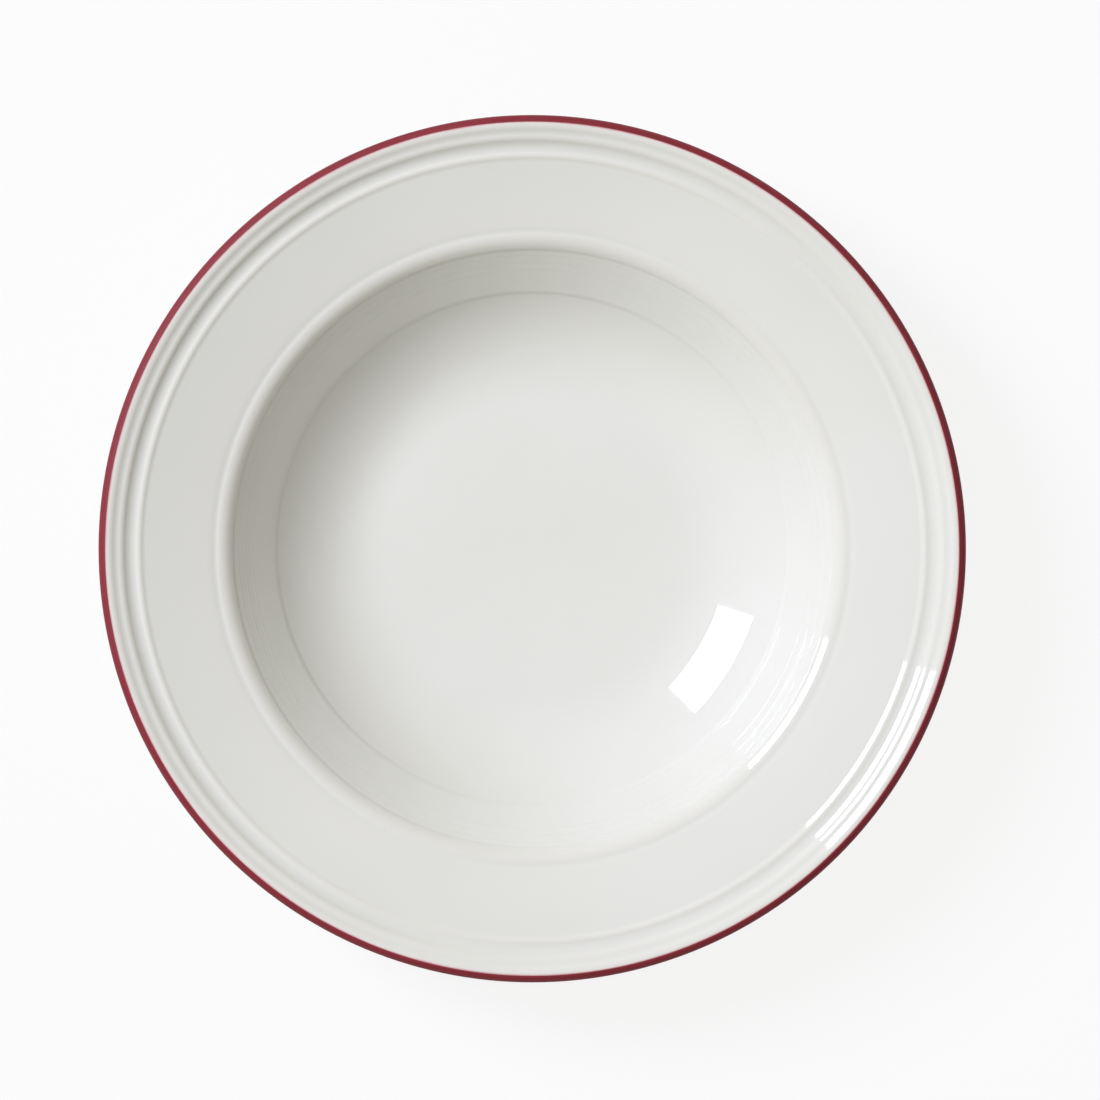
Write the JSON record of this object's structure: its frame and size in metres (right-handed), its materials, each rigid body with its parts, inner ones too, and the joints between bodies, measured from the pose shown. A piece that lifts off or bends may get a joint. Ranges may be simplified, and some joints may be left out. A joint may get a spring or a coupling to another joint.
{
  "type": "pasta plate",
  "caption": "Round off-white glazed pasta plate: a deep bowl-shaped well, a broad sloping rim with pressed rings near its edge, a claret line on the lip and a low foot ring",
  "frame": {"origin": "on the plate's axis, in the plane that the foot ring stands on", "axes": "+Z up the plate's axis, out of the well; X and Y lie in the table and are free, because the plate is round; in the picture +X is right and +Y is up"},
  "size_m": [0.3, 0.3, 0.0506],
  "materials": {
    "bare_ceramic": "matt unglazed vitrified ceramic",
    "white_glaze": "high-gloss off-white glaze",
    "red_line": "satin claret colour fired into the glaze"
  },
  "bodies": {
    "root": {"ceramic_body": "bare_ceramic", "face_glaze": "white_glaze", "rim_line": "red_line", "underside_glaze": "white_glaze", "foot_recess_glaze": "white_glaze"}
  },
  "joints": []
}
